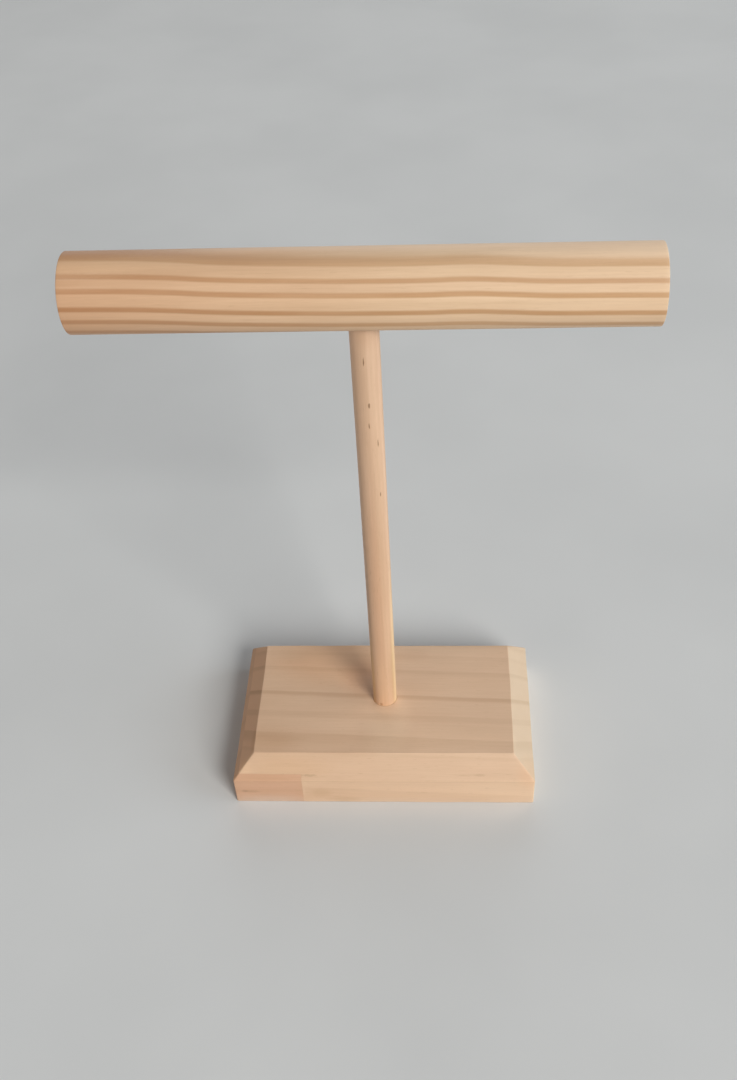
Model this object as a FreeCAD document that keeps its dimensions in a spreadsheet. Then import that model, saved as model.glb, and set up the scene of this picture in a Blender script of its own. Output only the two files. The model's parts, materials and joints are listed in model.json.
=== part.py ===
import FreeCAD, Part
import os
import Sketcher

# T-bar jewellery stand of pine: a bevelled base block, a dowel post standing in its middle
# and a round bar lying level across the top of the post, all glued together.
# Millimetres. Origin on the table under the middle of the base, +X along the bar to the right,
# +Y to the back, +Z up.

driving_sizes = {
    # base block
    "base_width": 149.0,
    "base_depth": 88.0,
    "base_height": 29.0,
    "long_bevel_inset": 8.8,
    "end_bevel_inset": 10.4,
    "bevel_drop": 11.8,
    "base_edge_ease": 0.6,
    # strip let into the left end of the base
    "lap_length": 34.0,
    "lap_rise": 3.0,
    # post
    "post_diameter": 12.0,
    "post_exposed_length": 224.0,
    "post_end_chamfer": 0.8,
    "base_socket_depth": 20.0,
    "bar_socket_depth": 16.0,
    # bar
    "bar_diameter": 31.5,
    "bar_length": 224.0,
    "bar_edge_ease": 0.3,
    # glue film between the post and its two sockets
    "glue_gap": 0.15,
    # how far every cutting shape runs past the wood that it cuts
    "cut_overrun": 5.0,
}

doc = FreeCAD.newDocument("jewelry_stand")
sizes = doc.addObject("Spreadsheet::Sheet", "sizes")
for row, (size_name, size_value) in enumerate(driving_sizes.items(), start=1):
    sizes.set(f"A{row}", size_name)
    sizes.set(f"B{row}", str(size_value))
    sizes.setAlias(f"B{row}", size_name)
doc.recompute()

# Heights that several pieces share, worked out from the driving sizes.
base_socket_floor = "(sizes.base_height - sizes.base_socket_depth)"
bar_underside = "(sizes.base_height + sizes.post_exposed_length)"
bar_axis_height = f"({bar_underside} + sizes.bar_diameter / 2)"
bar_socket_roof = f"({bar_underside} + sizes.bar_socket_depth)"
socket_radius = "(sizes.post_diameter / 2 + sizes.glue_gap)"
lap_top = "(sizes.base_height - sizes.bevel_drop + sizes.lap_rise)"


def bind(feature, expressions):
    for property_name, expression in expressions.items():
        feature.setExpression(property_name, expression)


def origin_plane(body, role):
    return next(plane for plane in body.Origin.OriginFeatures if plane.Role == role)


def new_sketch(body, name, plane_role):
    sketch = body.newObject("Sketcher::SketchObject", name)
    sketch.AttachmentSupport = [(origin_plane(body, plane_role), "")]
    sketch.MapMode = "FlatFace"
    return sketch


def sized_constraint(sketch, name, expression, *constraint):
    index = sketch.addConstraint(Sketcher.Constraint(*constraint))
    sketch.renameConstraint(index, name)
    sketch.setExpression(f"Constraints.{name}", expression)


def circle_sketch(body, name, plane_role, diameter):
    # A circle about the plane's own origin.
    unit_circle = Part.Circle(FreeCAD.Vector(0, 0, 0), FreeCAD.Vector(0, 0, 1), 1)
    sketch = new_sketch(body, name, plane_role)
    circle = sketch.addGeometry(unit_circle)
    sketch.addConstraint(Sketcher.Constraint("Coincident", circle, 3, -1, 1))
    sized_constraint(sketch, "diameter", diameter, "Diameter", circle, 2)
    return sketch


def rectangle_sketch(body, name, plane_role, width, depth):
    # A rectangle centred on the plane's origin.
    corners = [FreeCAD.Vector(x, y, 0) for x, y in ((-1, -1), (1, -1), (1, 1), (-1, 1))]
    sketch = new_sketch(body, name, plane_role)
    front, right, back, left = (
        sketch.addGeometry(Part.LineSegment(start, end))
        for start, end in zip(corners, corners[1:] + corners[:1])
    )
    for line, next_line in ((front, right), (right, back), (back, left), (left, front)):
        sketch.addConstraint(Sketcher.Constraint("Coincident", line, 2, next_line, 1))
    for line in (front, back):
        sketch.addConstraint(Sketcher.Constraint("Horizontal", line))
    for line in (right, left):
        sketch.addConstraint(Sketcher.Constraint("Vertical", line))
    sketch.addConstraint(Sketcher.Constraint("Symmetric", front, 1, back, 1, -1, 1))
    sized_constraint(sketch, "width", width, "DistanceX", front, 1, front, 2, 2)
    sized_constraint(sketch, "depth", depth, "DistanceY", right, 1, right, 2, 2)
    return sketch


def edge_names(shape, wanted):
    return [f"Edge{number}" for number, edge in enumerate(shape.Edges, start=1) if wanted(edge)]


def top_edge_names(shape, axis):
    # Edges of the uppermost face that run along the axis, "X" or "Y".
    top_face = max(shape.Faces, key=lambda face: face.CenterOfMass.z)
    cross_axis = "Y" if axis == "X" else "X"
    wanted_edges = [
        edge for edge in top_face.Edges
        if getattr(edge.BoundBox, f"{axis}Length") > getattr(edge.BoundBox, f"{cross_axis}Length")
    ]
    return edge_names(shape, lambda edge: any(edge.isSame(wanted) for wanted in wanted_edges))


def cylinder_about_post_axis(name, radius, height, foot_height):
    cylinder = doc.addObject("Part::Cylinder", name)
    bind(cylinder, {"Radius": radius, "Height": height, "Placement.Base.z": foot_height})
    return cylinder


def boolean(kind, name, base, tool):
    result = doc.addObject(kind, name)
    result.Base = base
    result.Tool = tool
    return result


# Base block before it is cut: a planed slab with its top edges bevelled and every arris eased.
base_blank = doc.addObject("PartDesign::Body", "base_blank")
slab = base_blank.newObject("PartDesign::Pad", "slab")
slab.Profile = rectangle_sketch(
    base_blank, "slab_outline", "XY_Plane", "sizes.base_width", "sizes.base_depth"
)
slab.setExpression("Length", "sizes.base_height")
doc.recompute()

long_bevels = base_blank.newObject("PartDesign::Chamfer", "long_bevels")
long_bevels.Base = (slab, top_edge_names(slab.Shape, "X"))
long_bevels.ChamferType = "Two distances"
bind(long_bevels, {"Size": "sizes.bevel_drop", "Size2": "sizes.long_bevel_inset"})
doc.recompute()

end_bevels = base_blank.newObject("PartDesign::Chamfer", "end_bevels")
end_bevels.Base = (long_bevels, top_edge_names(long_bevels.Shape, "Y"))
end_bevels.ChamferType = "Two distances"
bind(end_bevels, {"Size": "sizes.bevel_drop", "Size2": "sizes.end_bevel_inset"})
doc.recompute()

eased_arrises = base_blank.newObject("PartDesign::Fillet", "eased_arrises")
eased_arrises.Base = (end_bevels, edge_names(end_bevels.Shape, lambda edge: True))
eased_arrises.setExpression("Radius", "sizes.base_edge_ease")

# The strip at the left end: a box over the full depth, up to a little above the foot of the bevel.
lap_space = doc.addObject("Part::Box", "lap_space")
bind(lap_space, {
    "Length": "sizes.lap_length + sizes.cut_overrun",
    "Width": "sizes.base_depth + 2 * sizes.cut_overrun",
    "Height": f"{lap_top} + sizes.cut_overrun",
    "Placement.Base.x": "-sizes.base_width / 2 - sizes.cut_overrun",
    "Placement.Base.y": "-sizes.base_depth / 2 - sizes.cut_overrun",
    "Placement.Base.z": "-sizes.cut_overrun",
})
base_lap_block = boolean("Part::Common", "base_lap_block", base_blank, lap_space)

# The socket in the base, open at the top face.
base_socket = cylinder_about_post_axis(
    "base_socket", socket_radius, "sizes.base_socket_depth + sizes.cut_overrun", base_socket_floor
)
rebated_base = boolean("Part::Cut", "rebated_base", base_blank, lap_space)
base_block = boolean("Part::Cut", "base_block", rebated_base, base_socket)

# Post: a dowel from the floor of one socket to the roof of the other, less the glue at each end.
post = doc.addObject("PartDesign::Body", "post")
dowel_section = circle_sketch(post, "dowel_section", "XY_Plane", "sizes.post_diameter")
dowel_section.setExpression("AttachmentOffset.Base.z", f"{base_socket_floor} + sizes.glue_gap")
dowel = post.newObject("PartDesign::Pad", "dowel")
dowel.Profile = dowel_section
dowel.setExpression("Length", f"{bar_socket_roof} - {base_socket_floor} - 2 * sizes.glue_gap")
doc.recompute()

chamfered_ends = post.newObject("PartDesign::Chamfer", "chamfered_ends")
chamfered_ends.Base = (dowel, edge_names(dowel.Shape, lambda edge: edge.isClosed()))
chamfered_ends.setExpression("Size", "sizes.post_end_chamfer")

# Bar before it is drilled: a round stick along X, centred over the post, its end edges eased.
bar_blank = doc.addObject("PartDesign::Body", "bar_blank")
round_stick = bar_blank.newObject("PartDesign::Pad", "round_stick")
round_stick.Profile = circle_sketch(bar_blank, "bar_section", "YZ_Plane", "sizes.bar_diameter")
round_stick.SideType = "Symmetric"
round_stick.setExpression("Length", "sizes.bar_length")
bar_blank.setExpression("Placement.Base.z", bar_axis_height)
doc.recompute()

eased_ends = bar_blank.newObject("PartDesign::Fillet", "eased_ends")
eased_ends.Base = (round_stick, edge_names(round_stick.Shape, lambda edge: edge.isClosed()))
eased_ends.setExpression("Radius", "sizes.bar_edge_ease")

# The socket in the bar, open at the bar's underside.
bar_socket = cylinder_about_post_axis(
    "bar_socket", socket_radius, "sizes.bar_socket_depth + sizes.cut_overrun",
    f"{bar_underside} - sizes.cut_overrun"
)
bar = boolean("Part::Cut", "bar", bar_blank, bar_socket)

# Set glue: what is left of each socket around the post, flush with the wood at its mouth.
base_socket_plug = boolean("Part::Common", "base_socket_plug", base_blank, base_socket)
base_joint_glue = boolean("Part::Cut", "base_joint_glue", base_socket_plug, post)
bar_socket_plug = boolean("Part::Common", "bar_socket_plug", bar_blank, bar_socket)
bar_joint_glue = boolean("Part::Cut", "bar_joint_glue", bar_socket_plug, post)
doc.recompute()

pieces = [base_block, base_lap_block, post, bar, base_joint_glue, bar_joint_glue]

for item in doc.Objects:
    if "Invalid" in item.State or "Error" in item.State:
        raise RuntimeError(f"{item.Name} did not build: {item.State}")
for piece in pieces:
    if piece.Shape.isNull() or not piece.Shape.isValid():
        raise RuntimeError(f"{piece.Label} has no valid shape")
    if len(piece.Shape.Solids) != 1:
        raise RuntimeError(f"{piece.Label} should be one solid, and is {len(piece.Shape.Solids)}")

# Each cut has to take wood away.
for cut_piece, whole in ((base_block, rebated_base), (rebated_base, base_blank), (bar, bar_blank)):
    if cut_piece.Shape.Volume >= whole.Shape.Volume:
        raise RuntimeError(f"{cut_piece.Label} was not cut")

os.makedirs("parts", exist_ok=True)
for piece in pieces:
    piece.Shape.exportStep(f"parts/{piece.Label}.step")
    print(f"{piece.Label}: {piece.Shape.Volume:.1f} cubic mm")
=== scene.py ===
import json
import math
import bmesh
import bpy
from mathutils import Matrix, Vector, noise

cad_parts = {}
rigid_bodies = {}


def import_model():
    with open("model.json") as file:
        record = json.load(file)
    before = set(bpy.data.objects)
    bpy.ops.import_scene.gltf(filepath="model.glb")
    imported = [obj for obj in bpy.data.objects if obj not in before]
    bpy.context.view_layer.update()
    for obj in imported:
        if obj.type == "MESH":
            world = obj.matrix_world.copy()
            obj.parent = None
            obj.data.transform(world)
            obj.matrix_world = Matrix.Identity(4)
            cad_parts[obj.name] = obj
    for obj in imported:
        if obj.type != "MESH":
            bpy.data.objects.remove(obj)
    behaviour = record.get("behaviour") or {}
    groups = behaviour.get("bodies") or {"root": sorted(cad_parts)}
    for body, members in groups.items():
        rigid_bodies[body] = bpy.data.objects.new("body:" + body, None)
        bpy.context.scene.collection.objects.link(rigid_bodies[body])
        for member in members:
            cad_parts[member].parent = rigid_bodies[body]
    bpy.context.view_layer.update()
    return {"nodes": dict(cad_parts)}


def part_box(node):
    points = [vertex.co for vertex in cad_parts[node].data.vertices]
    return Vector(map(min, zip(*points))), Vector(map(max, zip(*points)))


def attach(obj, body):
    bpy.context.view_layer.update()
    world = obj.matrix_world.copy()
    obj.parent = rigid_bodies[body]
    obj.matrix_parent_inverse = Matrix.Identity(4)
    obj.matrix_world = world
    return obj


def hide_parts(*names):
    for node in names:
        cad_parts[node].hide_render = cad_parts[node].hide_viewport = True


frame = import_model()
mm = 0.001  # the pieces below are sized in millimetres, the floor, lamps and camera in metres

for leftover in [o for o in bpy.data.objects if o.name in ("Cube", "Light", "Camera")]:
    bpy.data.objects.remove(leftover)
print("frame loaded:", sorted(frame["nodes"]))


def boxInMm(node):
    low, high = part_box(node)
    return low / mm, high / mm


# mesh tools

def roundedPath(points, radius, arcSteps, runShares):
    # a polyline with its inner corners rounded and its straight runs divided at runShares
    points = [Vector(p) for p in points]
    path = []
    start = points[0]
    for before, corner, after in zip(points, points[1:], points[2:]):
        inward = (before - corner).normalized()
        outward = (after - corner).normalized()
        reach = radius / math.tan(inward.angle(outward) / 2)
        arcStart = corner + inward * reach
        arcEnd = corner + outward * reach
        path += [start.lerp(arcStart, share) for share in runShares]
        for step in range(arcSteps):
            t = step / arcSteps
            path.append(arcStart.lerp(corner, t).lerp(corner.lerp(arcEnd, t), t))
        start = arcEnd
    return path + [start, points[-1]]


def meshObject(name, work):
    mesh = bpy.data.meshes.new(name)
    work.to_mesh(mesh)
    work.free()
    made = bpy.data.objects.new(name, mesh)
    bpy.context.scene.collection.objects.link(made)
    return made


def loftObject(name, rings):
    # quads between rings of equal length, given in millimetres, closed by a flat cap at each end
    work = bmesh.new()
    loops = [[work.verts.new(Vector(p) * mm) for p in ring] for ring in rings]
    count = len(loops[0])
    for lower, upper in zip(loops, loops[1:]):
        for here in range(count):
            there = (here + 1) % count
            work.faces.new((lower[here], lower[there], upper[there], upper[here]))
    work.faces.new(loops[0])
    work.faces.new(loops[-1])
    bmesh.ops.recalc_face_normals(work, faces=work.faces)
    return meshObject(name, work)


def boxObject(name, low, high):
    work = bmesh.new()
    bmesh.ops.create_cube(work, size=1)
    for corner in work.verts:
        corner.co = Vector([high[i] if corner.co[i] > 0 else low[i] for i in range(3)]) * mm
    return meshObject(name, work)


def carve(piece, cutter, operation):
    modifier = piece.modifiers.new("carve", "BOOLEAN")
    modifier.operation = operation
    modifier.solver = "EXACT"
    modifier.object = cutter
    bpy.context.view_layer.update()
    evaluated = piece.evaluated_get(bpy.context.evaluated_depsgraph_get())
    carved = bpy.data.meshes.new_from_object(evaluated)
    piece.modifiers.clear()
    piece.data = carved
    bpy.data.objects.remove(cutter)


sharpAngle = math.radians(40)  # edges that turn by more stay crisp


def finishPiece(piece, node, material):
    piece.data.shade_smooth()
    piece.data.set_sharp_from_angle(angle=sharpAngle)
    piece.data.materials.clear()
    piece.data.materials.append(material)
    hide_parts(node)
    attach(piece, "root")
    print("made", piece.name, len(piece.data.polygons), "faces")


# node tools

def addNode(tree, kind, inputs=None, **settings):
    made = tree.nodes.new("ShaderNode" + kind)
    for key, value in settings.items():
        setattr(made, key, value)
    for key, value in (inputs or {}).items():
        if isinstance(value, bpy.types.NodeSocket):
            tree.links.new(value, made.inputs[key])
        else:
            made.inputs[key].default_value = value
    return made


def calc(tree, operation, *values):
    return addNode(tree, "Math", dict(enumerate(values)), operation=operation).outputs[0]


def remap(tree, value, fromLow, fromHigh, toLow=0.0, toHigh=1.0, kind="SMOOTHSTEP"):
    inputs = {"Value": value, "From Min": fromLow, "From Max": fromHigh, "To Min": toLow, "To Max": toHigh}
    return addNode(tree, "MapRange", inputs, interpolation_type=kind).outputs[0]


def blend(tree, mode, factor, first, second):
    inputs = {"Factor": factor, 6: first, 7: second}  # 6, 7 and output 2 are the sockets for colour
    return addNode(tree, "Mix", inputs, data_type="RGBA", blend_type=mode).outputs[2]


def stretch(tree, vector, factors):
    return addNode(tree, "VectorMath", {0: vector, 1: factors}, operation="MULTIPLY").outputs[0]


def cloud(tree, vector, spans, detail=2.0, roughness=0.5):
    # noise whose swells measure spans along each axis
    scaled = stretch(tree, vector, [1 / span for span in spans])
    inputs = {"Vector": scaled, "Scale": 1.0, "Detail": detail, "Roughness": roughness}
    return addNode(tree, "TexNoise", inputs).outputs[0]


def newGroup(name, inputs, outputs):
    tree = bpy.data.node_groups.new(name, "ShaderNodeTree")
    for label, kind, start in inputs:
        socket = tree.interface.new_socket(label, in_out="INPUT", socket_type="NodeSocket" + kind)
        socket.default_value = start
    for label, kind in outputs:
        tree.interface.new_socket(label, in_out="OUTPUT", socket_type="NodeSocket" + kind)
    given = tree.nodes.new("NodeGroupInput").outputs
    result = tree.nodes.new("NodeGroupOutput").inputs
    return tree, given, result


def useGroup(tree, group, inputs):
    return addNode(tree, "Group", inputs, node_tree=group).outputs


def newMaterial(name):
    material = bpy.data.materials.new(name)
    material.use_nodes = True
    return material, material.node_tree, material.node_tree.nodes["Principled BSDF"]


def placeInMm(tree):
    return stretch(tree, addNode(tree, "TexCoord").outputs["Object"], (1 / mm,) * 3)


# shared effects of sawn and sanded pine, all in millimetres, with the grain along X

cloudMean = 0.5
ringSway = {"longSpans": (75, 28, 28), "shortSpans": (15, 7, 7), "shortShare": 0.3}


def growthRingsGroup():
    tree, given, result = newGroup(
        "growthRings",
        (("Position", "Vector", (0, 0, 0)), ("Pith Side", "Float", 0.0), ("Pith Height", "Float", 80.0),
         ("Drift", "Float", 0.0), ("Wander", "Float", 0.6)),
        (("Ring Depth", "Float"),))
    parts = addNode(tree, "SeparateXYZ", {0: given["Position"]}).outputs
    side = calc(tree, "SUBTRACT", parts[1], given["Pith Side"])
    height = calc(tree, "SUBTRACT", parts[2], given["Pith Height"])
    squares = calc(tree, "ADD", calc(tree, "MULTIPLY", side, side), calc(tree, "MULTIPLY", height, height))
    radius = calc(tree, "SQRT", squares)
    sway = calc(tree, "SUBTRACT", cloud(tree, given["Position"], ringSway["longSpans"]), cloudMean)
    ripple = calc(tree, "SUBTRACT", cloud(tree, given["Position"], ringSway["shortSpans"]), cloudMean)
    uneven = calc(tree, "MULTIPLY_ADD", ripple, ringSway["shortShare"], sway)
    wander = calc(tree, "MULTIPLY", uneven, given["Wander"])
    tree.links.new(calc(tree, "ADD", calc(tree, "ADD", radius, given["Drift"]), wander), result["Ring Depth"])
    return tree


fibreLook = {
    "coarseSpans": (34, 0.9, 0.9), "coarseShare": 0.55, "fineSpans": (9, 0.28, 0.28), "fineShare": 0.45,
    "mottleSpans": (60, 14, 14), "dashSpans": (4.5, 0.42, 0.42), "dashPeaks": (0.735, 0.80),
}


def woodFibreGroup():
    tree, given, result = newGroup(
        "woodFibre",
        (("Position", "Vector", (0, 0, 0)),),
        (("Fibre", "Float"), ("Mottle", "Float"), ("Dashes", "Float")))
    coarse = cloud(tree, given["Position"], fibreLook["coarseSpans"], detail=3, roughness=0.6)
    coarse = calc(tree, "MULTIPLY", coarse, fibreLook["coarseShare"])
    fine = cloud(tree, given["Position"], fibreLook["fineSpans"])
    tree.links.new(calc(tree, "MULTIPLY_ADD", fine, fibreLook["fineShare"], coarse), result["Fibre"])
    tree.links.new(cloud(tree, given["Position"], fibreLook["mottleSpans"]), result["Mottle"])
    specks = cloud(tree, given["Position"], fibreLook["dashSpans"], detail=0)
    tree.links.new(remap(tree, specks, *fibreLook["dashPeaks"]), result["Dashes"])
    return tree


endFacing = (0.50, 0.72)  # cosine to the grain where end grain starts and where it is full


def endGrainGroup():
    tree, given, result = newGroup(
        "endGrain",
        (("Normal", "Vector", (0, 0, 1)), ("Grain Axis", "Vector", (1, 0, 0))),
        (("End", "Float"),))
    pair = {0: given["Normal"], 1: given["Grain Axis"]}
    along = addNode(tree, "VectorMath", pair, operation="DOT_PRODUCT").outputs["Value"]
    tree.links.new(remap(tree, calc(tree, "ABSOLUTE", along), *endFacing), result["End"])
    return tree


fleckFray = (1.6, 0.5, 0.5)  # spans of the ragged edge


def fleckGroup():
    tree, given, result = newGroup(
        "fleck",
        (("Position", "Vector", (0, 0, 0)), ("Centre", "Vector", (0, 0, 0)),
         ("Half Size", "Vector", (1, 1, 1)), ("Softness", "Float", 0.55), ("Raggedness", "Float", 0.9)),
        (("Mark", "Float"),))
    offset = addNode(tree, "VectorMath", {0: given["Position"], 1: given["Centre"]}, operation="SUBTRACT")
    shares = addNode(tree, "VectorMath", {0: offset.outputs[0], 1: given["Half Size"]}, operation="DIVIDE")
    frayed = calc(tree, "SUBTRACT", cloud(tree, given["Position"], fleckFray), cloudMean)
    length = addNode(tree, "VectorMath", {0: shares.outputs[0]}, operation="LENGTH").outputs["Value"]
    reach = calc(tree, "MULTIPLY_ADD", frayed, given["Raggedness"], length)
    core = calc(tree, "SUBTRACT", 1.0, given["Softness"])
    tree.links.new(remap(tree, reach, core, 1.0, 1.0, 0.0), result["Mark"])
    return tree


growthRings = growthRingsGroup()
woodFibre = woodFibreGroup()
endGrain = endGrainGroup()
fleck = fleckGroup()


def ringRamp(tree, depth, pithDistance, span, fade, lines):
    # each latewood line darkens over its lead on the pith side, keeps its core and fades on the bark side
    share = remap(tree, depth, pithDistance + span[0], pithDistance + span[1], kind="LINEAR")
    ramp = addNode(tree, "ValToRGB", {"Fac": share})
    ramp.color_ramp.interpolation = "EASE"
    stops = []
    for at, core, lead, strength in lines:
        stops += [(at - core / 2 - lead, 0.0), (at - core / 2, strength),
                  (at + core / 2, strength), (at + core / 2 + fade, 0.0)]
    elements = ramp.color_ramp.elements
    while len(elements) < len(stops):
        elements.new(1.0)
    for element, (at, strength) in zip(elements, sorted(stops)):
        element.position = (at - span[0]) / (span[1] - span[0])
        element.color = (strength, strength, strength, 1)
    return ramp.outputs["Color"]


def driftCurve(tree, along, reach, drifts):
    # how far the rings move across the piece from one end of its grain to the other, never below zero
    share = remap(tree, along, -reach, reach, kind="LINEAR")
    most = max(drift for at, drift in drifts)
    curve = addNode(tree, "FloatCurve", {"Value": share})
    points = curve.mapping.curves[0].points
    while len(points) < len(drifts):
        points.new(0.5, 0.5)
    for point, (at, drift) in zip(points, drifts):
        point.location = (at, drift / most)
    curve.mapping.update()
    return calc(tree, "MULTIPLY", curve.outputs[0], most)


pineLook = {  # what the pine pieces share
    "lateRange": (0.3, 0.7), "lateLevels": (0.8, 1.06),  # the mottle makes the ring lines uneven
    "fibreRange": (0.3, 0.7), "fibreTints": ((0.90, 0.87, 0.84, 1), (1.06, 1.06, 1.06, 1)),
    "mottleRange": (0.25, 0.75), "mottleTints": ((0.94, 0.90, 0.86, 1), (1.05, 1.06, 1.07, 1)),
    "lateSmoother": 0.08, "endRougher": 0.15, "fibreRougher": 0.25,
    "lateHeight": 0.35, "fibreHeight": 0.6, "dashDepth": 0.5,
    "bumpStrength": 0.35, "bumpDistance": 0.15,
}


def pineMaterial(name, wood):
    material, tree, shader = newMaterial(name)
    coords = addNode(tree, "TexCoord").outputs
    turned = addNode(tree, "Mapping", {
        "Vector": coords["Object"], "Scale": (1 / mm,) * 3,
        "Rotation": wood["grainTurn"], "Location": wood["grainShift"]}).outputs[0]
    along = addNode(tree, "SeparateXYZ", {0: turned}).outputs[0]
    drift = driftCurve(tree, along, wood["reach"], wood["drifts"])
    depth = useGroup(tree, growthRings, {
        "Position": turned, "Pith Side": wood["pith"][0], "Pith Height": wood["pith"][1],
        "Drift": drift, "Wander": wood["wander"]})["Ring Depth"]
    fibre = useGroup(tree, woodFibre, {"Position": turned})
    end = useGroup(tree, endGrain, {"Normal": coords["Normal"], "Grain Axis": wood["grainAxis"]})["End"]

    late = ringRamp(tree, depth, wood["pithDistance"], wood["ringSpan"], wood["ringFade"], wood["ringLines"])
    uneven = remap(tree, fibre["Mottle"], *pineLook["lateRange"], *pineLook["lateLevels"])
    late = calc(tree, "MULTIPLY", late, uneven)
    colour = blend(tree, "MIX", late, wood["early"], wood["late"])
    tone = remap(tree, along, *wood["toneSpan"], kind="LINEAR")
    tint = blend(tree, "MIX", tone, wood["leftTint"], wood["rightTint"])
    colour = blend(tree, "MULTIPLY", 1.0, colour, tint)
    streak = remap(tree, fibre["Fibre"], *pineLook["fibreRange"])
    streak = blend(tree, "MIX", streak, *pineLook["fibreTints"])
    colour = blend(tree, "MULTIPLY", wood["fibreWeight"], colour, streak)
    patch = remap(tree, fibre["Mottle"], *pineLook["mottleRange"])
    patch = blend(tree, "MIX", patch, *pineLook["mottleTints"])
    colour = blend(tree, "MULTIPLY", wood["mottleWeight"], colour, patch)
    dashes = calc(tree, "MULTIPLY", fibre["Dashes"], wood["dashWeight"])
    colour = blend(tree, "MIX", dashes, colour, wood["dash"])
    colour = blend(tree, "MIX", calc(tree, "MULTIPLY", end, wood["endWeight"]), colour, wood["end"])
    whichEnd = remap(tree, along, -wood["reach"] / 2, wood["reach"] / 2, kind="LINEAR")
    colour = blend(tree, "MULTIPLY", end, colour, blend(tree, "MIX", whichEnd, *wood["endTints"]))
    endLine = blend(tree, "MIX", whichEnd, *wood["endLines"])
    colour = blend(tree, "MULTIPLY", calc(tree, "MULTIPLY", end, late), colour, endLine)
    marks = None
    for spot in wood["flecks"]:
        mark = useGroup(tree, fleck, {
            "Position": turned, "Centre": spot["at"], "Half Size": spot["half"],
            "Softness": spot["softness"], "Raggedness": spot["ragged"]})["Mark"]
        mark = calc(tree, "MULTIPLY", mark, spot["weight"])
        colour = blend(tree, "MIX" if spot["sunken"] else "MULTIPLY", mark, colour, spot["colour"])
        if spot["sunken"]:
            marks = mark if marks is None else calc(tree, "MAXIMUM", marks, mark)
    tree.links.new(colour, shader.inputs["Base Color"])

    smoothest = wood["roughness"] - pineLook["lateSmoother"]
    rough = remap(tree, late, 0, 1, wood["roughness"], smoothest, kind="LINEAR")
    rough = calc(tree, "MULTIPLY_ADD", end, pineLook["endRougher"], rough)
    fibrous = calc(tree, "SUBTRACT", fibre["Fibre"], cloudMean)
    rough = calc(tree, "MULTIPLY_ADD", fibrous, pineLook["fibreRougher"], rough)
    tree.links.new(rough, shader.inputs["Roughness"])

    relief = calc(tree, "MULTIPLY", late, pineLook["lateHeight"])
    relief = calc(tree, "MULTIPLY_ADD", fibre["Fibre"], pineLook["fibreHeight"], relief)
    relief = calc(tree, "SUBTRACT", relief, calc(tree, "MULTIPLY", fibre["Dashes"], pineLook["dashDepth"]))
    if marks is not None:
        relief = calc(tree, "SUBTRACT", relief, marks)
    bump = addNode(tree, "Bump", {
        "Height": relief, "Strength": pineLook["bumpStrength"], "Distance": pineLook["bumpDistance"] * mm})
    tree.links.new(bump.outputs[0], shader.inputs["Normal"])
    shader.inputs["Specular IOR Level"].default_value = wood["specular"]
    return material


def darkFleck(at, half, weight, colour):
    # a small pit or streak that covers the grain and sinks a little
    return {"at": at, "half": half, "weight": weight, "colour": colour,
            "softness": 0.6, "ragged": 0.9, "sunken": True}


def stainOrPaintedLight(at, half, tint, softness=0.85):
    # a soft patch, level with the wood round it, that tints the grain under it: a stain in the wood, or
    # painted light or shade
    return {"at": at, "half": half, "weight": 1.0, "colour": (*tint, 1),
            "softness": softness, "ragged": 0.25, "sunken": False}


# base: one block with its top edges bevelled, cut in two where the strip is let into its left end

baseShape = {
    "longInset": 8.8, "endInset": 10.4, "bevelDrop": 11.8,  # how far the bevels run in and down
    "arrisRadius": 0.6, "cornerRadius": 0.8,
    "longSteps": 46, "shortSteps": 28, "cornerSteps": 5, "arcSteps": 5,
    "runShares": (0.0, 0.04, 0.2, 0.4, 0.6, 0.8, 0.96),  # rings down each bevel and wall
    "topSteps": 14, "lead": 1.2,  # rings over the top, flat strip beside its edge
    "rimEase": 0.08,  # rim of the socket
    "underInsets": (6.0, 20.0, 38.0),  # rings under the base
    "wobble": 0.26, "wobbleSpan": 20.0, "wobbleSeed": 7,  # hand work
    "calmRadius": (8.0, 18.0),  # it is left out within the first and full beyond the second
    "jointGap": 0.04,  # hair line round the strip
    "kerfReach": 6.4, "kerfHeight": 0.2, "kerfDepth": 0.5,  # saw cut that ran past the strip's shoulder
}

blockHigh = boxInMm("base_block")[1]
lapHigh = boxInMm("base_lap_block")[1]
glueLow, glueHigh = boxInMm("base_joint_glue")
halfWidth = blockHigh.x
halfDepth = blockHigh.y
baseTop = blockHigh.z


def outlinePoints(halfLong, halfShort, radius):
    arcs = []
    for quarter, (sideX, sideY) in enumerate(((1, 1), (-1, 1), (-1, -1), (1, -1))):
        centre = Vector((sideX * (halfLong - radius), sideY * (halfShort - radius)))
        angles = [(quarter + step / baseShape["cornerSteps"]) * math.pi / 2
                  for step in range(baseShape["cornerSteps"] + 1)]
        arcs.append([centre + radius * Vector((math.cos(a), math.sin(a))) for a in angles])
    points = []
    for quarter, arc in enumerate(arcs):
        steps = baseShape["longSteps"] if quarter % 2 == 0 else baseShape["shortSteps"]
        following = arcs[(quarter + 1) % 4][0]
        points += arc + [arc[-1].lerp(following, step / steps) for step in range(1, steps)]
    return points


def insetOutline(inset):
    # the outline drawn in by inset at the front and back, and along the end bevels in proportion
    long, end = baseShape["longInset"], baseShape["endInset"]
    endwise = inset * end / long if inset < long else inset + end - long
    return outlinePoints(halfWidth - endwise, halfDepth - inset, baseShape["cornerRadius"])


def handWorked(point):
    # small swells, never outside the block and never on its underside
    calm, full = baseShape["calmRadius"]
    weight = min(max((point.to_2d().length - calm) / (full - calm), 0), 1)
    sway = noise.noise_vector(point / baseShape["wobbleSpan"]) * baseShape["wobble"] * weight
    moved = point + sway
    moved.x = min(max(moved.x, -halfWidth), halfWidth)
    moved.y = min(max(moved.y, -halfDepth), halfDepth)
    moved.z = min(max(moved.z, 0), baseTop) if point.z > baseShape["arrisRadius"] else point.z
    return moved


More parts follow.
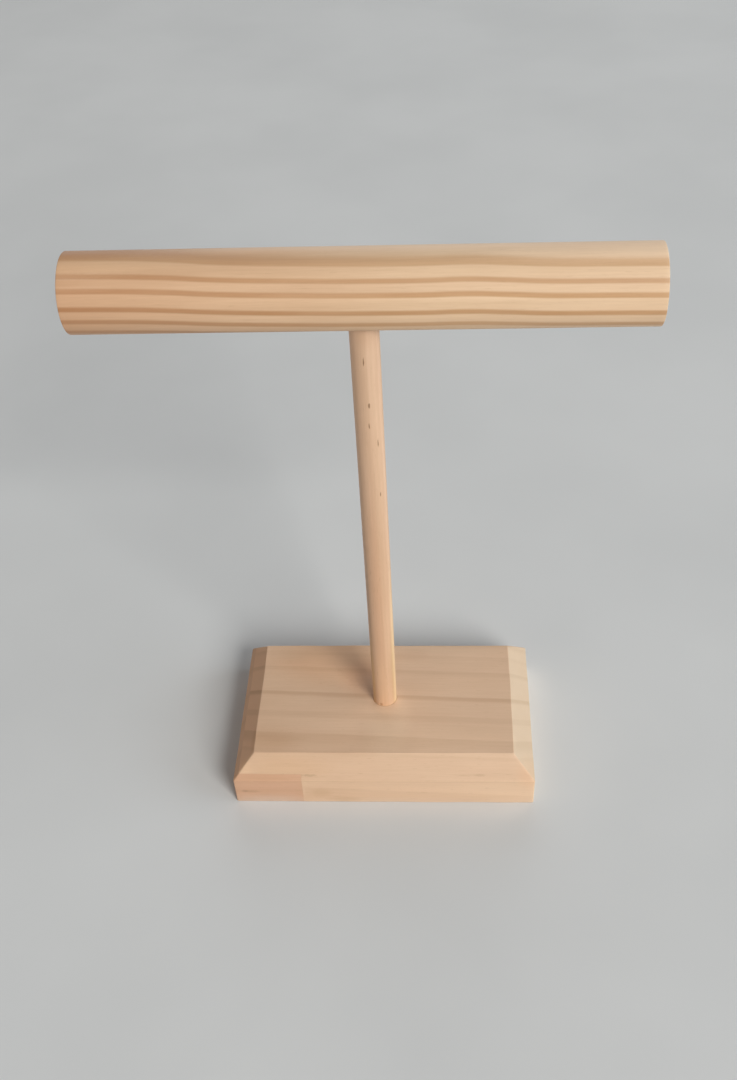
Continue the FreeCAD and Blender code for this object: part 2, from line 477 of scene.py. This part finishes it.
def baseRings():
    shape = baseShape
    edge = insetOutline(shape["longInset"] + shape["lead"])
    rim = [p.normalized() for p in edge]
    socketRadius = glueHigh.x
    rings = [[(*p * socketRadius, glueLow.z) for p in rim],
             [(*p * socketRadius, baseTop - shape["rimEase"]) for p in rim]]
    mouth = [p * (socketRadius + shape["rimEase"]) for p in rim]
    for step in range(shape["topSteps"]):
        share = step / shape["topSteps"]
        rings.append([(*inner.lerp(outer, share), baseTop) for inner, outer in zip(mouth, edge)])
    path = roundedPath(
        [(shape["longInset"] + shape["lead"], baseTop), (shape["longInset"], baseTop),
         (0, baseTop - shape["bevelDrop"]), (0, 0), (shape["lead"], 0)],
        shape["arrisRadius"], shape["arcSteps"], shape["runShares"])
    path += [(inset, 0) for inset in shape["underInsets"]]
    for inset, height in path:
        rings.append([(*p, height) for p in insetOutline(inset)])
    return [[handWorked(Vector(p)) for p in ring] for ring in rings]


noise.seed_set(baseShape["wobbleSeed"])  # else noise_vector differs from run to run
baseRingList = baseRings()
baseBlock = loftObject("baseBlock", baseRingList)
lapBlock = loftObject("lapBlock", baseRingList)
gap = baseShape["jointGap"]
past = 1.0  # cutters run this far past the wood
outside = Vector((-halfWidth - past, -halfDepth - past, -past))
lapSpace = boxObject("lapSpace", outside, (lapHigh.x, halfDepth + past, lapHigh.z))
carve(baseBlock, lapSpace, "DIFFERENCE")
lapFit = boxObject("lapFit", outside, (lapHigh.x - gap, halfDepth + past, lapHigh.z - gap))
carve(lapBlock, lapFit, "INTERSECT")
kerfLow = (lapHigh.x - past, -halfDepth - past, lapHigh.z - baseShape["kerfHeight"])
kerfHigh = (lapHigh.x + baseShape["kerfReach"], -halfDepth + baseShape["kerfDepth"], lapHigh.z)
carve(baseBlock, boxObject("kerf", kerfLow, kerfHigh), "DIFFERENCE")

basePine = {
    "grainTurn": (0, 0, 0), "grainShift": (0, 0, 0), "grainAxis": (1, 0, 0), "reach": 74.0,
    "pith": (-200.0, -120.0), "pithDistance": 250.0, "wander": 0.9,
    "drifts": ((0.0, 0.0), (1.0, 5.4)),
    "ringSpan": (-60.0, 45.0), "ringFade": 0.7,
    "ringLines": (  # place, core, lead and strength of each line
        (-47.0, 5.0, 3.0, 0.16), (-26.0, 0.6, 1.6, 0.10), (-18.6, 1.4, 5.2, 0.25), (-8.1, 2.0, 1.2, 0.16),
        (2.7, 0.7, 2.0, 0.42), (16.5, 0.6, 2.4, 0.22), (25.5, 0.6, 2.5, 0.12), (33.0, 0.6, 2.5, 0.20)),
    "early": (0.697, 0.485, 0.332, 1), "late": (0.46, 0.27, 0.153, 1),
    # toneSpan, leftTint and rightTint here are painted light from the right: the block is a little darker on
    # the left and paler on the right
    "toneSpan": (-70.0, 70.0), "leftTint": (0.96, 0.94, 0.92, 1), "rightTint": (1.03, 1.03, 1.03, 1),
    "fibreWeight": 0.35, "mottleWeight": 0.45,
    "dash": (0.45, 0.27, 0.15, 1), "dashWeight": 0.2,
    "end": (0.55, 0.36, 0.22, 1), "endWeight": 0.45,
    # the end tints are painted light: warm shade on the left end and cool light from the right-hand lamp on
    # the right end
    "endTints": ((1.17, 1.07, 1.03, 1), (1.04, 1.17, 1.27, 1)),  # red on the left, cool on the right
    "endLines": ((0.56, 0.52, 0.48, 1), (0.88, 0.84, 0.80, 1)),
    "roughness": 0.58, "specular": 0.45,
    "flecks": (
        # painted light on the front face, which faces the low front light, more on the right, and painted
        # bluish bounce light from the floor along its foot
        stainOrPaintedLight((17.0, -46.0, 8.0), (400.0, 2.6, 100.0), (1.08, 1.09, 1.09), 0.16),
        stainOrPaintedLight((75.0, -46.0, 9.0), (60.0, 5.0, 30.0), (1.06, 1.08, 1.09), 0.8),
        stainOrPaintedLight((20.0, -44.5, 0.0), (110.0, 3.0, 6.0), (0.99, 1.04, 1.11)),
        # painted shade along the front arris, dulling its lit edge
        stainOrPaintedLight((0.0, -44.0, 17.3), (400.0, 1.0, 0.9), (0.93, 0.92, 0.91)),
        # pale wedge beside the strip, then browner wood
        stainOrPaintedLight((-39.0, -43.8, 15.0), (2.2, 2.4, 5.5), (1.01, 1.02, 1.01)),
        stainOrPaintedLight((-39.8, -44.0, 8.5), (1.2, 2.0, 6.0), (1.03, 1.04, 1.05)),
        stainOrPaintedLight((-31.5, -44.0, 8.0), (7.5, 3.0, 5.5), (0.92, 0.90, 0.86)),
        stainOrPaintedLight((-20.0, -44.0, 2.5), (12.0, 3.0, 3.5), (0.92, 0.90, 0.86)),
        # front bevel above the strip
        stainOrPaintedLight((-48.0, -40.0, 23.0), (30.0, 12.0, 8.0), (0.98, 0.95, 0.90)),
        # front corners of the end bevels
        stainOrPaintedLight((72.0, -40.0, 20.0), (9.0, 14.0, 12.0), (1.02, 0.97, 0.93)),
        stainOrPaintedLight((-70.0, -41.0, 22.0), (7.0, 9.0, 9.0), (1.10, 1.10, 1.08)),
        # painted shadow of the post behind it and to its left, and darker patches along the back of the top
        stainOrPaintedLight((-28.0, 26.0, 29.0), (44.0, 25.0, 5.0), (0.97, 0.89, 0.82), 0.7),
        stainOrPaintedLight((-12.0, 13.0, 29.0), (17.0, 16.0, 4.0), (1.01, 0.92, 0.87)),
        stainOrPaintedLight((14.0, 29.0, 29.0), (12.0, 8.0, 4.0), (0.94, 0.92, 0.91)),
        stainOrPaintedLight((10.0, 38.0, 29.0), (90.0, 13.0, 4.0), (0.94, 0.95, 0.95)),
        stainOrPaintedLight((-11.0, 9.0, 29.0), (11.0, 9.0, 4.0), (0.92, 0.91, 0.91)),
        stainOrPaintedLight((-48.0, 30.0, 29.0), (20.0, 8.0, 4.0), (0.92, 0.94, 0.95)),
        # front of the top: browner on the left, paler on the right and before the post
        stainOrPaintedLight((-58.0, -28.0, 29.0), (24.0, 12.0, 4.0), (0.90, 0.85, 0.80)),
        stainOrPaintedLight((34.0, -28.0, 29.0), (60.0, 11.0, 4.0), (1.07, 1.09, 1.10)),
        stainOrPaintedLight((2.0, -17.0, 29.0), (15.0, 30.0, 4.0), (1.10, 1.15, 1.18), 0.8),
        # painted shade in the saw cut that ran past the strip, sunk a little
        darkFleck((-46.0, -42.0, 19.9), (11.0, 2.5, 0.6), 0.20, (0.36, 0.22, 0.12, 1)),
        darkFleck((-36.5, -42.3, 19.7), (5.0, 2.0, 0.8), 0.36, (0.36, 0.23, 0.13, 1)),
        darkFleck((-49.5, -42.2, 19.8), (1.0, 2.0, 0.9), 0.30, (0.38, 0.24, 0.13, 1)),
        # brown streak on the right of the front bevel
        darkFleck((47.5, -42.0, 20.0), (3.4, 2.0, 0.9), 0.20, (0.40, 0.24, 0.14, 1)),
        stainOrPaintedLight((43.0, -42.0, 20.2), (15.0, 2.0, 0.8), (0.95, 0.94, 0.93)),
    ),
}

lapPine = dict(
    basePine,
    pith=(-150.0, 190.0), pithDistance=240.0, ringSpan=(-50.0, 50.0), drifts=((0.0, 0.0), (1.0, 1.5)),
    ringLines=(
        (-30.0, 1.0, 3.0, 0.12), (-18.0, 1.0, 3.0, 0.12), (-6.0, 1.2, 3.0, 0.10),
        (6.0, 1.2, 3.0, 0.12), (19.0, 1.0, 3.0, 0.12)),
    early=(0.67, 0.415, 0.275, 1), late=(0.46, 0.25, 0.145, 1),
    endTints=((1.06, 1.03, 1.03, 1), (1.06, 1.03, 1.03, 1)),
    flecks=(
        # browner above, and painted bluish bounce light from the floor at the foot
        stainOrPaintedLight((-58.0, -42.6, 18.5), (30.0, 3.0, 4.0), (0.94, 0.92, 0.88)),
        stainOrPaintedLight((-58.0, -44.5, -1.0), (34.0, 3.0, 10.0), (0.98, 1.17, 1.38)),
        # brown mark near the corner
        darkFleck((-66.5, -44.0, 8.6), (6.2, 1.8, 1.3), 0.26, (0.34, 0.20, 0.11, 1)),
        darkFleck((-69.5, -44.0, 9.0), (2.4, 1.8, 1.3), 0.32, (0.32, 0.19, 0.11, 1)),
    ),
)

finishPiece(baseBlock, "base_block", pineMaterial("basePine", basePine))
finishPiece(lapBlock, "base_lap_block", pineMaterial("lapPine", lapPine))


# tools for the two round pieces

def sandedShare(place, shape, radius):
    # how much of the radius is left: the swells take up to wobble off and never add
    swell = noise.noise(Vector([c / span for c, span in zip(place, shape["wobbleSpan"])]))
    return 1 - shape["wobble"] * (0.5 + 0.5 * swell) / radius


def turnedRings(profile, sides, spot):
    # profile holds (radius, distance along the axis), spot turns a point's three values into its place
    rings = []
    for radius, along in profile:
        angles = [2 * math.pi * side / sides for side in range(sides)]
        rings.append([spot(radius * math.cos(a), radius * math.sin(a), along) for a in angles])
    return rings


# post: a dowel with chamfered ends, seated in both sockets

postShape = {"sides": 72, "chamfer": 0.8, "wallSteps": 90, "wobble": 0.06, "wobbleSpan": (9.0, 9.0, 34.0)}

postLow, postHigh = boxInMm("post")
postRadius = postHigh.x


def postSpot(x, y, z):
    shrink = sandedShare((x, y, z), postShape, postRadius)
    return Vector((x * shrink, y * shrink, z))


def postProfile():
    chamfer = postShape["chamfer"]
    foot, head = postLow.z, postHigh.z
    walls = [(postRadius, foot + chamfer + (head - foot - 2 * chamfer) * step / postShape["wallSteps"])
             for step in range(postShape["wallSteps"] + 1)]
    return [(postRadius - chamfer, foot)] + walls + [(postRadius - chamfer, head)]


postPine = {
    "grainTurn": (0, math.pi / 2, 0), "grainShift": (0, 0, 0), "grainAxis": (0, 0, 1), "reach": 270.0,
    "pith": (-70.0, 30.0), "pithDistance": 76.0, "wander": 0.9,
    "drifts": ((0.0, 0.0), (1.0, 2.0)),
    "ringSpan": (-14.0, 14.0), "ringFade": 0.5,
    "ringLines": (
        (-7.0, 0.4, 1.2, 0.20), (-3.4, 0.4, 1.2, 0.22), (0.4, 0.4, 1.2, 0.2),
        (3.6, 0.4, 1.2, 0.22), (7.4, 0.4, 1.2, 0.2)),
    "early": (0.684, 0.467, 0.317, 1), "late": (0.505, 0.305, 0.178, 1),
    "toneSpan": (30.0, 254.0), "leftTint": (0.995, 0.93, 0.88, 1), "rightTint": (1.0, 1.0, 1.005, 1),
    "fibreWeight": 0.45, "mottleWeight": 0.4,
    "dash": (0.42, 0.25, 0.14, 1), "dashWeight": 0.25,
    "end": (0.55, 0.36, 0.22, 1), "endWeight": 0.45,
    "endTints": ((0.96, 0.94, 0.91, 1), (0.98, 0.96, 0.94, 1)),
    "endLines": ((0.75, 0.70, 0.66, 1), (0.75, 0.70, 0.66, 1)),
    "roughness": 0.56, "specular": 0.45,
}
postFlecks = {  # height, turn to the right of the front in degrees, half length, half width
    "neck": (239.4, -5, 2.7, 0.36), "upper": (218.3, 7, 1.7, 0.54), "middle": (208.1, 3, 2.0, 0.32),
    "side": (198.6, 36, 3.0, 0.32), "low": (170.5, 35, 1.5, 0.34),
}
fleckLook = {"weight": 0.85, "colour": (0.24, 0.13, 0.06, 1)}


def postFleck(height, turn, halfLength, halfWidth):
    turn = math.radians(turn)
    place = (height, -postRadius * math.cos(turn), -postRadius * math.sin(turn))
    return darkFleck(place, (halfLength, halfWidth, halfWidth), **fleckLook)


postStripes = (  # placed by height, Y and minus X, the way the grain is turned
    # pale yellow on the right, browner nearer the front
    stainOrPaintedLight((54.0, -1.8, -5.7), (90.0, 3.4, 2.6), (1.12, 1.23, 1.13), 0.7),
    stainOrPaintedLight((54.0, -3.6, -4.6), (40.0, 3.0, 3.0), (0.90, 0.89, 0.83)),
    # orange at the front, paler towards the foot
    stainOrPaintedLight((100.0, -6.0, 0.6), (100.0, 3.0, 3.6), (1.0, 0.96, 0.94), 0.7),
    stainOrPaintedLight((42.0, -6.0, 0.8), (34.0, 4.0, 4.5), (1.08, 1.11, 1.10), 0.8),
    # a browner stripe beside it, and painted shadow of the bar on the post's top
    stainOrPaintedLight((140.0, -5.3, -2.8), (130.0, 3.2, 3.0), (0.91, 0.89, 0.86), 0.8),
    stainOrPaintedLight((252.0, -6.0, -1.0), (10.0, 6.0, 6.0), (0.93, 0.90, 0.88)),
    # yellow low on the left, and painted shade on the post's left side above it
    stainOrPaintedLight((44.0, -2.5, 5.5), (45.0, 3.0, 3.0), (1.02, 1.04, 0.92), 0.7),
    stainOrPaintedLight((46.0, -3.2, 5.2), (26.0, 1.9, 1.9), (1.08, 1.10, 1.06)),
    stainOrPaintedLight((108.0, -3.2, 5.2), (48.0, 2.0, 2.0), (0.87, 0.91, 0.97)),
    # brown spot at the foot
    stainOrPaintedLight((30.3, -5.7, 1.6), (1.5, 1.3, 1.3), (0.72, 0.62, 0.55)),
)
postPine["flecks"] = tuple(postFleck(*size) for size in postFlecks.values()) + postStripes

post = loftObject("dowelPost", turnedRings(postProfile(), postShape["sides"], postSpot))
finishPiece(post, "post", pineMaterial("postPine", postPine))

# bar: a round stick along X with eased ends, drilled from below

barShape = {
    "sides": 96, "ease": 0.3, "arcSteps": 5, "lengthSteps": 110, "endShares": (0.15, 0.45, 0.75, 0.95),
    "wobble": 0.10, "wobbleSpan": (40.0, 14.0, 14.0), "socketSides": 64,
}

barLow, barHigh = boxInMm("bar")
barGlueHigh = boxInMm("bar_joint_glue")[1]
barRadius = (barHigh.z - barLow.z) / 2
barAxis = (barHigh.z + barLow.z) / 2
barHalf = barHigh.x


def barSpot(y, z, x):
    shrink = sandedShare((x, y, z), barShape, barRadius)
    return Vector((x, y * shrink, barAxis + z * shrink))


def barProfile():
    ease = barShape["ease"]
    flat = [(share * (barRadius - ease), barHalf) for share in barShape["endShares"]]
    turns = [math.pi / 2 * step / barShape["arcSteps"] for step in range(barShape["arcSteps"] + 1)]
    arc = [(barRadius - ease + ease * math.sin(t), barHalf - ease + ease * math.cos(t)) for t in turns]
    rightEnd = flat + arc
    inner = barHalf - ease
    steps = barShape["lengthSteps"]
    wall = [(barRadius, inner - 2 * inner * step / steps) for step in range(1, steps)]
    return rightEnd + wall + [(radius, -along) for radius, along in reversed(rightEnd)]


barPine = {
    "grainTurn": (0, 0, 0), "grainShift": (0, 0, -barAxis), "grainAxis": (1, 0, 0), "reach": barHalf,
    "pith": (16.6, 78.2), "pithDistance": 80.0, "wander": 0.3,
    "drifts": ((0.0, 4.75), (0.10, 4.45), (0.18, 3.85), (0.255, 2.9), (0.32, 2.35), (0.385, 1.98), (0.5, 1.5),
               (0.605, 1.4), (0.67, 1.65), (0.735, 1.22), (0.83, 0.4), (0.90, 0.25), (1.0, 0.0)),
    "ringSpan": (-20.0, 20.0), "ringFade": 0.75,
    "ringLines": (
        (-10.7, 1.5, 1.9, 0.62), (-4.65, 0.9, 0.95, 0.80), (0.45, 1.1, 1.0, 0.84),
        (7.2, 0.95, 1.1, 1.0), (12.2, 0.9, 1.1, 0.86), (17.0, 0.8, 1.1, 0.8)),
    "early": (0.725, 0.499, 0.331, 1), "late": (0.50, 0.275, 0.135, 1),
    # toneSpan, leftTint and rightTint here are painted light from the right: the bar pales towards its right
    # end and darkens and reddens towards its left
    "toneSpan": (-112.0, 30.0), "leftTint": (0.85, 0.75, 0.675, 1), "rightTint": (1.095, 1.137, 1.127, 1),
    "fibreWeight": 0.45, "mottleWeight": 0.5,
    "dash": (0.45, 0.26, 0.14, 1), "dashWeight": 0.12,
    "end": (0.58, 0.38, 0.23, 1), "endWeight": 0.35,
    "endTints": ((0.97, 0.95, 0.93, 1), (1.02, 1.01, 1.0, 1)),
    "endLines": ((0.85, 0.80, 0.76, 1), (0.85, 0.80, 0.76, 1)),
    "roughness": 0.55, "specular": 0.45,
    "flecks": (
        # a little darker along the crown, where the broad band spreads on the left and pales on the right
        stainOrPaintedLight((0.0, -2.5, 15.7), (400.0, 5.5, 3.0), (0.92, 0.92, 0.91)),
        stainOrPaintedLight((-45.0, 0.0, 15.5), (45.0, 4.5, 3.0), (0.95, 0.91, 0.86)),
        stainOrPaintedLight((-112.0, -4.5, 15.0), (75.0, 8.0, 5.0), (1.13, 1.18, 1.19), 0.8),
        stainOrPaintedLight((-104.0, 2.3, 15.4), (62.0, 6.6, 4.0), (0.79, 0.67, 0.45)),
        stainOrPaintedLight((112.0, -3.5, 15.0), (95.0, 7.0, 5.0), (1.20, 1.26, 1.36)),
        # lines that fade at the left end
        stainOrPaintedLight((-108.0, -9.5, 12.6), (34.0, 1.9, 1.9), (1.12, 1.22, 1.36)),
        stainOrPaintedLight((-108.0, -12.9, 9.0), (28.0, 1.7, 1.7), (1.08, 1.13, 1.20)),
        # painted shade on the front of the bar, where the key lamp falls most, and paler low on the right
        stainOrPaintedLight((45.0, -13.2, 8.5), (125.0, 4.5, 5.0), (0.94, 0.92, 0.91), 0.6),
        stainOrPaintedLight((92.0, -15.6, -2.0), (40.0, 3.0, 3.4), (1.05, 1.045, 1.045)),
        stainOrPaintedLight((10.0, -15.6, 2.1), (100.0, 3.0, 2.7), (0.94, 0.93, 0.915)),
        stainOrPaintedLight((0.0, -13.4, 8.2), (80.0, 2.6, 2.6), (0.97, 0.96, 0.955)),
    ),
}

bar = loftObject("roundBar", turnedRings(barProfile(), barShape["sides"], barSpot))
socketProfile = [(barGlueHigh.x, barLow.z - past), (barGlueHigh.x, barGlueHigh.z)]
socketRings = turnedRings(socketProfile, barShape["socketSides"], lambda x, y, z: Vector((x, y, z)))
carve(bar, loftObject("drill", socketRings), "DIFFERENCE")
finishPiece(bar, "bar", pineMaterial("barPine", barPine))


# set glue in the two joints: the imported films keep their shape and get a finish

glueLook = {
    "thin": (0.62, 0.47, 0.28, 1), "thick": (0.48, 0.33, 0.17, 1), "roughness": 0.38,
    "lumpSpans": (1.4, 1.4, 1.4), "lumpRange": (0.3, 0.7), "bumpStrength": 0.3, "bumpDistance": 0.1,
}


def glueMaterial():
    material, tree, shader = newMaterial("setGlue")
    lumps = cloud(tree, placeInMm(tree), glueLook["lumpSpans"], detail=3)
    share = remap(tree, lumps, *glueLook["lumpRange"])
    colour = blend(tree, "MIX", share, glueLook["thin"], glueLook["thick"])
    tree.links.new(colour, shader.inputs["Base Color"])
    bump = addNode(tree, "Bump", {
        "Height": lumps, "Strength": glueLook["bumpStrength"], "Distance": glueLook["bumpDistance"] * mm})
    tree.links.new(bump.outputs[0], shader.inputs["Normal"])
    shader.inputs["Roughness"].default_value = glueLook["roughness"]
    return material


setGlue = glueMaterial()
for name in ("base_joint_glue", "bar_joint_glue"):
    film = frame["nodes"][name]
    if not film.material_slots:
        film.data.materials.append(setGlue)
    film.material_slots[0].material = setGlue
print("glue films dressed")


# floor, light and camera

floorLook = {
    "radius": 1.8, "sides": 128,  # round, so that no corner stands on the horizon
    "colour": (0.72, 0.735, 0.745, 1), "shade": (0.68, 0.695, 0.705, 1),
    "shadeSpans": (180.0, 180.0, 180.0), "shadeRange": (0.3, 0.7),
    "specular": 0.0,  # matt, or the low lamps would bleach it
}


def makeFloor():
    bpy.ops.mesh.primitive_circle_add(
        vertices=floorLook["sides"], radius=floorLook["radius"], fill_type="NGON")
    floor = bpy.context.object
    floor.name = "floor"
    material, tree, shader = newMaterial("paleFloor")
    share = cloud(tree, placeInMm(tree), floorLook["shadeSpans"], detail=3)
    share = remap(tree, share, *floorLook["shadeRange"])
    colour = blend(tree, "MIX", share, floorLook["colour"], floorLook["shade"])
    tree.links.new(colour, shader.inputs["Base Color"])
    shader.inputs["Specular IOR Level"].default_value = floorLook["specular"]
    floor.data.materials.append(material)


lamps = {  # turn to the right of the front and rise, in degrees
    "key": {"turn": 35, "rise": 33, "distance": 9.6, "size": 4.4,
            "level": 0.765, "colour": (1.02, 1.0, 0.955)},
    "side": {"turn": 85, "rise": 15, "distance": 8.8, "size": 8.8,
             "level": 0.58, "colour": (0.91, 1.0, 1.07)},
    "left": {"turn": -50, "rise": 12, "distance": 8.8, "size": 8.0,
             "level": 0.195, "colour": (1.09, 1.0, 0.91)},
    "back": {"turn": 180, "rise": 22, "distance": 8.8, "size": 8.0,
             "level": 0.32, "colour": (1.0, 1.0, 1.0)},
}
aim = Vector((0, 0, 0.12))  # near the middle of the stand
worldLook = {"colour": (1.06, 1.0, 0.94, 1), "level": 0.058, "backdrop": (0.62, 0.62, 0.615, 1)}


def makeLamps():
    for name, lamp in lamps.items():
        turn, rise = math.radians(lamp["turn"]), math.radians(lamp["rise"])
        toLamp = Vector((math.sin(turn) * math.cos(rise), -math.cos(turn) * math.cos(rise), math.sin(rise)))
        data = bpy.data.lights.new(name, "AREA")
        data.shape = "DISK"
        data.size = lamp["size"]
        # at level 1 a colour that faces the lamp shows as written
        data.energy = lamp["level"] * math.pi ** 2 * lamp["distance"] ** 2
        data.color = lamp["colour"]
        made = bpy.data.objects.new(name, data)
        made.location = aim + toLamp * lamp["distance"]
        made.rotation_euler = toLamp.to_track_quat("Z", "Y").to_euler()
        made.visible_camera = False
        bpy.context.scene.collection.objects.link(made)


def makeWorld():
    world = bpy.data.worlds.new("studio")
    bpy.context.scene.world = world
    world.use_nodes = True
    tree = world.node_tree
    light = tree.nodes["Background"]
    light.inputs["Color"].default_value = worldLook["colour"]
    light.inputs["Strength"].default_value = worldLook["level"]
    backdrop = addNode(tree, "Background", {"Color": worldLook["backdrop"], "Strength": 1.0})
    ray = addNode(tree, "LightPath").outputs
    seen = calc(tree, "MAXIMUM", ray["Is Camera Ray"], ray["Is Glossy Ray"])
    seen = calc(tree, "MAXIMUM", seen, ray["Is Transmission Ray"])
    mix = addNode(tree, "MixShader", {0: seen, 1: light.outputs[0], 2: backdrop.outputs[0]})
    tree.links.new(mix.outputs[0], tree.nodes["World Output"].inputs["Surface"])


viewpoint = {
    "place": (0.02988, -0.39316, 0.50623), "turn": 3.86, "tilt": 47.03, "roll": -2.96,
    "lens": 39.89, "sensor": 36, "shift": -0.0139, "nearest": 0.01,
}


def makeCamera():
    data = bpy.data.cameras.new("camera")
    data.lens = viewpoint["lens"]
    data.sensor_width = viewpoint["sensor"]
    data.shift_x = viewpoint["shift"]
    data.clip_start = viewpoint["nearest"]
    camera = bpy.data.objects.new("camera", data)
    camera.matrix_world = (Matrix.Translation(viewpoint["place"])
                           @ Matrix.Rotation(math.radians(viewpoint["turn"]), 4, "Z")
                           @ Matrix.Rotation(math.radians(viewpoint["tilt"]), 4, "X")
                           @ Matrix.Rotation(math.radians(viewpoint["roll"]), 4, "Z"))
    bpy.context.scene.collection.objects.link(camera)
    bpy.context.scene.camera = camera


makeFloor()
makeLamps()
makeWorld()
makeCamera()
bpy.context.scene.view_settings.view_transform = "Standard"
print("floor, light and camera set")
